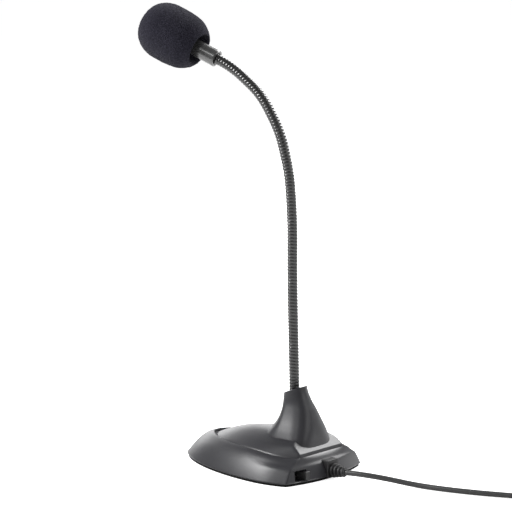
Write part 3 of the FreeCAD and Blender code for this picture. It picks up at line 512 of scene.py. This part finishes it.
def rear_stations(corner_half, step):
    """x of the rear face's columns, which keep to the switch slot's edges up to its top."""
    top_step = step_at(SLOT["high"])
    held = min(step, top_step)
    held_half = corner_at(held)
    bounds = (held_half, SLOT["right"], SLOT["left"], -held_half)
    stations = []
    for (start, end), count in zip(zip(bounds, bounds[1:]), SLOT_COLUMNS):
        stations += [start + (end - start) * i / count for i in range(count)]
    stations.append(-held_half)
    return [x * corner_half / held_half for x in stations]


def corner_at(step):
    """Half width between the rear corners at a step of the slope."""
    return SKIRT["corner_half"] + (SKIRT["rim_corner_half"] - SKIRT["corner_half"]) * step


def skirt_ring(step, height, inset=0.0):
    """Closed outline, from the nose round the +X side, the rear face and back, moved in by inset."""
    base_low, base_high = corners("base_cover")

    def between(foot, rim):
        return foot + (rim - foot) * step

    width = between(base_high[0], SKIRT["rim_half"]) - inset
    reach = between(-base_low[1], SKIRT["rim_reach"]) - inset
    corner_half = corner_at(step) - inset
    corner_y = between(SKIRT["corner_y"], SKIRT["rim_rear_y"]) - inset
    bulge = (base_high[1] - SKIRT["corner_y"]) * (1 - step)
    side = egg_side(width, reach, corner_half, corner_y)
    rear = [(x, corner_y + bulge * (1 - (x / corner_half) ** 2))
            for x in rear_stations(corner_half, step)]
    near = round_corner(side[:-1], rear, SKIRT["corner_round"])
    far = round_corner([(-x, y) for x, y in side[:-1]], list(reversed(rear)), SKIRT["corner_round"])
    ring = [*near, *rear[1:-1], *reversed(far[1:])]
    return [(x, y, height) for x, y in ring]


def round_corner(side, rear, size):
    """The side's points, then a few on a small round towards the rear face's first points."""
    corner = np.array(rear[0])
    before = corner + unit(np.array(side[-1]) - corner) * size
    after = corner + unit(np.array(rear[1]) - corner) * size
    rounded = []
    for i in range(CORNER_POINTS + 1):
        t = i / CORNER_POINTS
        rounded.append(tuple((1 - t) ** 2 * before + 2 * t * (1 - t) * corner + t ** 2 * after))
    return side + rounded


def make_skirt():
    """The lower moulding: a pillow-shaped skirt with a switch slot in its rear face."""
    slot_low, slot_high = step_at(SLOT["low"]), step_at(SLOT["high"])
    steps = [0.0, slot_low, *np.linspace(slot_low, slot_high, SLOT_ROWS)[1:],
             *(slot_high + (1 - slot_high) * np.linspace(0, 1, SLOPE_ROWS)[1:])]
    foot, rim = SKIRT["foot_z"], SKIRT["rim_z"]
    rings = [skirt_ring(0.0, foot + rise, inset) for rise, inset in FOOT_RINGS]
    rings += [skirt_ring(step, height_at(step) + (SLOPE_START if step == 0 else 0.0))
              for step in steps]
    low_row, high_row = (len(FOOT_RINGS) + steps.index(step) for step in (slot_low, slot_high))
    rings += [skirt_ring(1.0, rim - drop, inset) for drop, inset in RIM_RINGS]
    rings.append(skirt_ring(1.0, foot, HOLLOW_INSET))
    count = len(rings[0])
    vertices = [p for ring in rings for p in ring]
    first_column = FRONT_POINTS + SIDE_POINTS + CORNER_POINTS + SLOT_COLUMNS[0] - 1
    last_column = first_column + SLOT_COLUMNS[1]
    faces = []
    for face in ring_faces(count, len(rings), closed_rings=True):
        row, column = divmod(face[0], count)
        if not (low_row <= row < high_row and first_column <= column < last_column):
            faces.append(face)
    loop = [low_row * count + j for j in range(first_column, last_column + 1)]
    loop += [i * count + last_column for i in range(low_row + 1, high_row + 1)]
    loop += [high_row * count + j for j in range(last_column - 1, first_column - 1, -1)]
    loop += [i * count + first_column for i in range(high_row - 1, low_row, -1)]
    middle_x = (SLOT["left"] + SLOT["right"]) / 2
    middle_z = (SLOT["low"] + SLOT["high"]) / 2
    previous = loop
    for depth, shrink in SLOT_MOUTH:
        start = len(vertices)
        for index in loop:
            x, y, z = vertices[index]
            in_x, in_z = middle_x - x, middle_z - z
            vertices.append((x + shrink * np.sign(in_x) * (abs(in_x) > SLOT_EDGE_X), y - depth,
                             z + shrink * np.sign(in_z) * (abs(in_z) > SLOT_EDGE_Z)))
        added = list(range(start, len(vertices)))
        for j in range(len(loop)):
            k = (j + 1) % len(loop)
            faces.append((previous[j], previous[k], added[k], added[j]))
        previous = added
    faces.append(tuple(reversed(previous)))
    return mesh_piece("base_skirt", [dipped(v) for v in vertices], faces, SHELL, crease=32)


# ---------------------------------------------------------------- base: leaf and neck

LEAF_LEVELS = (
    # height, half width, reach of the nose, half width of the rear corners, rear y
    (13.6, 25.2, 54.7, 19.4, 19.3), (14.6, 24.9, 53.5, 19.3, 19.2), (15.7, 24.3, 51.0, 19.0, 18.9),
    (17.6, 21.5, 46.0, 17.5, 18.4), (19.5, 18.0, 40.5, 15.5, 17.6), (21.4, 13.6, 33.2, 12.4, 15.0),
    (22.6, 9.4, 25.0, 8.6, 10.5), (23.3, 3.5, 11.0, 3.2, 5.0),
)
NECK_LEVELS = (
    # height, half width, front, rear, squareness of the rear corners
    (14.0, 15.8, 17.8, 17.2, 4.0), (19.5, 15.2, 16.8, 16.6, 4.0), (23.3, 13.9, 14.6, 16.1, 3.6),
    (27.0, 12.3, 10.6, 15.3, 3.3), (31.0, 10.5, 7.6, 14.1, 3.0), (35.5, 8.7, 6.0, 12.5, 2.7),
    (40.0, 7.2, 5.8, 10.1, 2.4), (45.0, 6.4, 5.9, 7.8, 2.1), (52.0, 6.0, 6.0, 6.2, 2.0),
)
NECK_TOP, NECK_TILT, NECK_HOLE = 46.0, 21.0, 3.05
NECK_COLUMNS, NECK_ROWS = 96, 56
LEAF_CORNER, LEAF_REAR_POINTS = 0.7, 24
# The deck behind the neck: its height at one y and its fall per millimetre towards the rear,
# the lowest it gets, and the y behind which it counts.
DECK_HEIGHT, DECK_Y, DECK_FALL = 16.5, 17.0, 0.8
DECK_LOWEST, DECK_FROM_Y = 13.0, 4.0


def deck_lowered(point):
    """A point of the leaf, let down behind the neck to the deck, which falls to the rear."""
    x, y, z = point
    deck = DECK_HEIGHT - DECK_FALL * (y - DECK_Y)
    return (x, y, min(z, max(deck, DECK_LOWEST)) if y > DECK_FROM_Y else z)


def make_leaf():
    """The raised leaf on the base, whose rear slope is the small deck behind the neck."""
    rings = []
    for height, width, reach, corner_half, rear_y in spline_through(LEAF_LEVELS, 6):
        side = egg_side(width, reach, corner_half, rear_y)
        rear = [(corner_half * (1 - i / (LEAF_REAR_POINTS / 2)), rear_y)
                for i in range(LEAF_REAR_POINTS + 1)]
        near = round_corner(side[:-1], rear, LEAF_CORNER)
        far = round_corner([(-x, y) for x, y in side[:-1]], list(reversed(rear)), LEAF_CORNER)
        rings.append([deck_lowered(dipped((x, y, height)))
                      for x, y in [*near, *rear[1:-1], *reversed(far[1:])]])
    return ring_piece("leaf_cover", rings, SHELL, crease=38)


def neck_point(angle, level):
    """A point of the neck's section: round in front, squarer behind."""
    height, width, front, rear, squareness = level
    across, along = math.cos(angle), math.sin(angle)
    power = squareness if along > 0 else 2.0
    size = (abs(across) ** power + abs(along) ** power) ** (-1 / power)
    return (width * across * size, (rear if along > 0 else front) * along * size, height)


def make_neck():
    """The neck, cut off by a slanted top with a round hole for the gooseneck."""
    levels = spline_through(NECK_LEVELS, 12)
    tilt = math.tan(math.radians(NECK_TILT))

    def level_at(height):
        return [np.interp(height, levels[:, 0], levels[:, k]) for k in range(5)]

    angles = [2 * math.pi * i / NECK_COLUMNS for i in range(NECK_COLUMNS)]
    tops = []
    for angle in angles:
        top = NECK_TOP
        for _ in range(8):
            top = NECK_TOP + neck_point(angle, level_at(top))[1] * tilt
        tops.append(top)
    rings = []
    bottom = NECK_LEVELS[0][0]
    for i in range(NECK_ROWS + 1):
        share = i / NECK_ROWS
        rings.append([neck_point(angle, level_at(bottom + share * (top - 0.35 - bottom)))
                      for angle, top in zip(angles, tops)])
    for inset, drop in ((0.1, 0.1), (0.35, 0.0), (0.8, 0.0)):
        ring = []
        for angle, top in zip(angles, tops):
            x, y, z = neck_point(angle, level_at(top))
            reach = math.hypot(x, y)
            x, y = x * (reach - inset) / reach, y * (reach - inset) / reach
            ring.append((x, y, NECK_TOP + y * tilt - drop))
        rings.append(ring)
    for radius, drop in ((NECK_HOLE + 0.5, 0.0), (NECK_HOLE + 0.12, 0.0), (NECK_HOLE, 0.15),
                         (NECK_HOLE, 6.0), (1.0, 6.0)):
        rings.append([(radius * math.cos(a), radius * math.sin(a),
                       NECK_TOP + radius * math.sin(a) * tilt - drop) for a in angles])
    return ring_piece("neck_cover", rings, SHELL, crease=40)


# ---------------------------------------------------------------- gooseneck

WIRE_PITCH = 1.8
COIL_RADIUS = 2.9
WIRE_ROUND = 1.6
STEPS_PER_TURN, STEPS_ACROSS = 28, 8
COIL_STARTS_Z = 32.0
IN_COLLAR = 8.0
LINK_STRAIGHT = 3.0
BEND_STEPS = 10
NO_TURN = 1e-4
HEAD_BODY = "head"


def pitch_axis():
    """Direction across the plane in which the gooseneck bends."""
    return unit(next(j["axis"] for j in frame["joints"] if j["name"].startswith("gooseneck_bend")))


def head_axis():
    """Direction in which the head points."""
    return unit(next(j["axis"] for j in frame["joints"] if j["name"] == "windscreen_pull"))


def collar_end():
    """Centre of the collar's rear face, from the box of the slanted cylinder."""
    low, high = corners("capsule_housing")
    axis = head_axis()
    lean = COLLAR["radius"] * np.sqrt(1 - axis ** 2)
    return np.where(axis > 0, low + lean, high - lean)


def hinge_places():
    """Places of the gooseneck's hinges, from the base up."""
    return [np.array(j["pos_m"]) / MM for j in frame["joints"] if j["name"].startswith("gooseneck")]


def coil_line():
    """Points up the middle of the gooseneck, the direction at each, and its distance along.

    Between two hinges it runs straight, bends evenly and runs straight again."""
    axis = pitch_axis()
    up = np.array((0.0, 0.0, 1.0))
    forward = np.cross(axis, up)

    def leaning(angle):
        return forward * math.sin(angle) + up * math.cos(angle)

    places = [*hinge_places(), collar_end()]
    head = head_axis()
    lean = math.atan2(head @ forward, head[2])
    leans = [lean]
    for low, high in zip(reversed(places[:-1]), reversed(places[1:])):
        chord = high - low
        lean = 2 * math.atan2(chord @ forward, chord[2]) - lean
        leans.insert(0, lean)
    points = [np.array((0.0, 0.0, COIL_STARTS_Z)), places[0]]
    stations, directions = list(points), [up, leaning(leans[0])]
    for low, high, lean_in, lean_out in zip(places, places[1:], leans, leans[1:]):
        turn = lean_out - lean_in
        start, end = low + leaning(lean_in) * LINK_STRAIGHT, high - leaning(lean_out) * LINK_STRAIGHT
        stations.append(start)
        directions.append(leaning(lean_in))
        if abs(turn) > NO_TURN:
            centre_side = np.cross(axis, leaning(lean_in))
            radius = np.linalg.norm(end - start) / (2 * math.sin(abs(turn) / 2))
            centre = start - centre_side * radius * (-1 if turn > 0 else 1)
        for i in range(1, BEND_STEPS):
            lean = lean_in + turn * i / BEND_STEPS
            if abs(turn) > NO_TURN:
                outward = -np.cross(axis, leaning(lean)) * (1 if turn > 0 else -1)
                stations.append(centre + outward * radius)
            else:
                stations.append(start + (end - start) * i / BEND_STEPS)
            directions.append(leaning(lean))
        stations += [end, high]
        directions += [leaning(lean_out)] * 2
    stations.append(places[-1] + head * IN_COLLAR)
    directions.append(head)
    stations, directions = np.array(stations), np.array(directions)
    along = np.concatenate([[0.0], np.cumsum(np.linalg.norm(np.diff(stations, axis=0), axis=1))])
    return stations, directions, along


def make_gooseneck():
    """The wound wire, one piece for each hinge: it ends half way along the links on both sides."""
    stations, directions, along = coil_line()
    axis = pitch_axis()
    places = hinge_places()
    hinge_at = [along[int(np.argmin(np.linalg.norm(stations - p, axis=1)))] for p in places]
    ends = [0.0] + [(a + b) / 2 for a, b in zip(hinge_at, hinge_at[1:])] + [along[-1]]
    turns = int(along[-1] / WIRE_PITCH)
    turn_ends = [round(e / WIRE_PITCH) for e in ends]
    turn_ends[-1] = turns - 1
    pieces = []
    for k, (first, last) in enumerate(zip(turn_ends, turn_ends[1:])):
        vertices, faces = [], []
        rows = (last - first) * STEPS_PER_TURN + 1
        for i in range(rows + STEPS_PER_TURN):
            turn = first + i / STEPS_PER_TURN
            angle = 2 * math.pi * turn
            lines = range(STEPS_ACROSS) if i < rows else range(1)
            for j in lines:
                share = j / STEPS_ACROSS
                place = min((turn + share) * WIRE_PITCH, along[-1])
                middle = np.array([np.interp(place, along, stations[:, c]) for c in range(3)])
                ahead = unit([np.interp(place, along, directions[:, c]) for c in range(3)])
                side = np.cross(axis, ahead)
                across = (share - 0.5) * WIRE_PITCH
                radius = COIL_RADIUS - WIRE_ROUND + math.sqrt(WIRE_ROUND ** 2 - across ** 2)
                vertices.append(middle + (axis * math.cos(angle) + side * math.sin(angle)) * radius)
        edge = rows * STEPS_ACROSS

        def index(i, j):
            if j < STEPS_ACROSS:
                return i * STEPS_ACROSS + j
            after = i + STEPS_PER_TURN
            return after * STEPS_ACROSS if after < rows else edge + after - rows

        for i in range(rows - 1):
            for j in range(STEPS_ACROSS):
                faces.append((index(i, j), index(i + 1, j), index(i + 1, j + 1), index(i, j + 1)))
        piece = mesh_piece("gooseneck_coil_%d" % (k + 1), vertices, faces, WIRE)
        place, ahead = places[k], directions[int(np.argmin(abs(along - hinge_at[k])))]
        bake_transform(piece)
        pieces.append(piece)
    return pieces


# ---------------------------------------------------------------- head

COLLAR = {"radius": 4.75, "bore": 3.25, "length": 43.5}
BORE_GAP = 0.35
# The foam's mouth: radius past the bore's, and distance along from the foam's start.
FOAM_MOUTH = ((0.0, 12.0), (0.2, 10.0), (1.1, 8.2), (2.3, 5.8), (3.2, 3.2), (3.6, 1.4), (3.7, 0.5))
FOAM_SHAPE = (
    # share of the length from the mouth, share of the radius
    (0.0, 0.58), (0.015, 0.635), (0.07, 0.76), (0.20, 0.925), (0.36, 0.99), (0.52, 1.0),
    (0.68, 0.985), (0.82, 0.87), (0.93, 0.64), (0.985, 0.30), (1.0, 0.0),
)
FOAM_RADIUS = 16.0
FOAM_START = 11.9
FOAM_LENGTH = 37.6
PORE = 0.55
PORE_DEPTH = 0.16
LUMP, LUMP_DEPTH = 9.0, 0.12
FOAM_COLUMNS, FOAM_ROW = 260, 0.42


def make_collar():
    """The housing's tube, open where the gooseneck goes in and closed inside the foam."""
    radius, bore = COLLAR["radius"], COLLAR["bore"]
    profile = [(bore - 0.2, 6.0), (bore - 0.2, 1.6), (bore, 1.5), (bore + 0.05, 0.35),
               (bore + 0.3, 0.08), (bore + 0.5, 0.0), (radius - 0.45, 0.0), (radius - 0.13, 0.12),
               (radius, 0.5), (radius, 1.2), (radius, 6.0), (radius, COLLAR["length"] - 0.6),
               (radius - 0.4, COLLAR["length"]), (0.0, COLLAR["length"])]
    return turned_piece("capsule_collar", profile, collar_end(), head_axis(), GLOSS, count=80)


def make_foam():
    """Egg of open-cell foam with a blunt front and a mouth turned in round the collar."""
    axis, origin = head_axis(), collar_end()
    side = unit(np.cross(axis, (1.0, 0.0, 0.0)))
    up = np.cross(axis, side)
    outline = spline_through(FOAM_SHAPE, 14)
    outline[:, 1] = np.maximum(outline[:, 1], 0.0)
    lengths = np.concatenate([[0], np.cumsum(np.hypot(np.diff(outline[:, 0]) * FOAM_LENGTH,
                                                      np.diff(outline[:, 1]) * FOAM_RADIUS))])
    rows = int(lengths[-1] / FOAM_ROW)
    bore = COLLAR["radius"] + BORE_GAP
    rings = [(bore + past, along) for past, along in FOAM_MOUTH]
    for i in range(rows + 1):
        where = lengths[-1] * i / rows
        rings.append((np.interp(where, lengths, outline[:, 1]) * FOAM_RADIUS,
                      np.interp(where, lengths, outline[:, 0]) * FOAM_LENGTH))
    centre = origin + axis * (FOAM_START + FOAM_LENGTH / 2)
    skin = []
    for radius, along in rings:
        ring = []
        for j in range(FOAM_COLUMNS):
            angle = 2 * math.pi * j / FOAM_COLUMNS
            outward = side * math.cos(angle) + up * math.sin(angle)
            point = origin + axis * (FOAM_START + along) + outward * max(radius, 0.01)
            grain = noise.turbulence(Vector(point / PORE), 2, False, noise_basis="BLENDER")
            lump = noise.noise(Vector(point / LUMP), noise_basis="BLENDER")
            push = unit(point - centre) * (PORE_DEPTH * (grain - 0.5) + LUMP_DEPTH * lump)
            ring.append(point + push * min(1.0, radius / 1.5))
        skin.append(ring)
    return ring_piece("foam_windscreen", skin, FOAM, caps=(False, True))


# ---------------------------------------------------------------- cable entry, switch, plug, tie

ENTRY = {"bevel": 0.5, "half_width": 4.6, "rib_radii": (4.0, 3.6, 3.2, 2.75), "stem": 2.15,
         "ribs_from": 0.5, "rib_length": 1.45, "rib_gap": 0.65, "ribs_reach": 9.0,
         "block_from": 19.0}


def make_entry():
    """The moulded block in the rear face and the ribbed relief round the cable."""
    low, high = corners("cable_entry")
    end = ENTRY["ribs_reach"]
    block_y = high[1] - end
    half = ENTRY["half_width"]
    block = bevelled_box("entry_block", (-half, ENTRY["block_from"], low[2]), (half, block_y, high[2]),
                         ENTRY["bevel"], RELIEF, segments=4)
    profile = [(0.0, -2.0), (ENTRY["stem"] + 0.4, -2.0), (ENTRY["stem"] + 0.4, 0.3)]
    along = ENTRY["ribs_from"]
    for radius in ENTRY["rib_radii"]:
        profile += [(ENTRY["stem"], along), (radius - 0.45, along + 0.02), (radius - 0.1, along + 0.2),
                    (radius, along + 0.5), (radius, along + ENTRY["rib_length"] - 0.5),
                    (radius - 0.1, along + ENTRY["rib_length"] - 0.2),
                    (radius - 0.45, along + ENTRY["rib_length"] - 0.02),
                    (ENTRY["stem"], along + ENTRY["rib_length"])]
        along += ENTRY["rib_length"] + ENTRY["rib_gap"]
    profile += [(ENTRY["stem"], end - 0.3), (ENTRY["stem"] - 0.25, end), (0.0, end)]
    exit_z = CABLE_ROUTE[0][2]
    ribs = turned_piece("entry_ribs", profile, np.array((0.0, block_y, exit_z)), (0, 1, 0), RELIEF,
                        count=56)
    for piece in (block, ribs):
        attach(piece, "base")
    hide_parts("cable_entry")


def make_knob():
    """The slide switch's button."""
    low, high = corners("switch_knob")
    knob = bevelled_box("switch_button", low, high, 0.3, KNOB)
    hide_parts("switch_knob")
    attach(knob, "switch_knob")


def make_plug():
    """The plug's moulded grip with its relief."""
    low, high = corners("plug_body")
    radius = (high[0] - low[0]) / 2
    origin = np.array(((low[0] + high[0]) / 2, high[1], (low[2] + high[2]) / 2))
    profile = [(0.0, 0.0), (1.9, 0.0), (2.2, 0.25), (2.3, 1.5), (2.0, 1.8), (2.0, 2.6), (2.5, 2.9),
               (2.65, 4.7), (2.3, 5.1), (2.3, 5.9), (2.9, 6.3), (3.05, 8.8), (radius - 0.3, 9.7),
               (radius, 10.4), (radius, 17.0), (radius - 0.12, 17.4), (radius - 0.12, 18.2),
               (radius, 18.6), (radius, 23.6), (radius - 0.25, 24.6), (radius - 0.7, 25.0), (0.0, 25.0)]
    plug = turned_piece("plug_grip", profile, origin, (0, -1, 0), RELIEF, count=56)
    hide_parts("plug_body")
    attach(plug, "base")
    return plug


def make_tie():
    """Hook-and-loop strap round the coil, a rounded band."""
    low, high = corners("coil_tie")
    middle = (low + high) / 2
    thick, corner = 0.5, 2.2
    half_x, half_z = (high[0] - low[0]) / 2, (high[2] - low[2]) / 2

    def outline(inset):
        points = []
        for quarter, (sx, sz) in enumerate(((1, 1), (-1, 1), (-1, -1), (1, -1))):
            for i in range(7):
                angle = math.pi / 2 * (quarter + i / 6)
                points.append((sx * (half_x - corner) + (corner - inset) * math.cos(angle),
                               sz * (half_z - corner) + (corner - inset) * math.sin(angle)))
        return points

    rings = []
    half_y = (high[1] - low[1]) / 2
    for inset, y in ((0.0, -half_y + 0.1), (0.1, -half_y), (thick - 0.1, -half_y),
                     (thick, -half_y + 0.1), (thick, half_y - 0.1), (thick - 0.1, half_y),
                     (0.1, half_y), (0.0, half_y - 0.1)):
        rings.append([(middle[0] + x, middle[1] + y, middle[2] + z) for x, z in outline(inset)])
    vertices = [p for ring in rings for p in ring]
    faces = ring_faces(len(rings[0]), len(rings), closed_rings=True)
    tie = mesh_piece("coil_strap", vertices, faces, STRAP, crease=40)
    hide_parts("coil_tie")
    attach(tie, "base")
    return tie


make_camera()
make_lights()
make_floor()
paint_cad()

cable = make_cable()
skirt = make_skirt()
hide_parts("base_cover")
leaf, neck = make_leaf(), make_neck()
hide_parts("upper_cover")
for piece in (skirt, leaf, neck):
    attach(piece, "base")
make_entry()
make_knob()
coils = make_gooseneck()
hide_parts("gooseneck_foot", *("gooseneck_%d" % i for i in range(1, 8)))
collar = make_collar()
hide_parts("capsule_housing")
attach(collar, HEAD_BODY)
foam = make_foam()
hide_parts("windscreen")
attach(foam, "windscreen")
plug = make_plug()
tie = make_tie()

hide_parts("cable_tube", "cable_tail", "cable_coil")
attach(cable, "base")
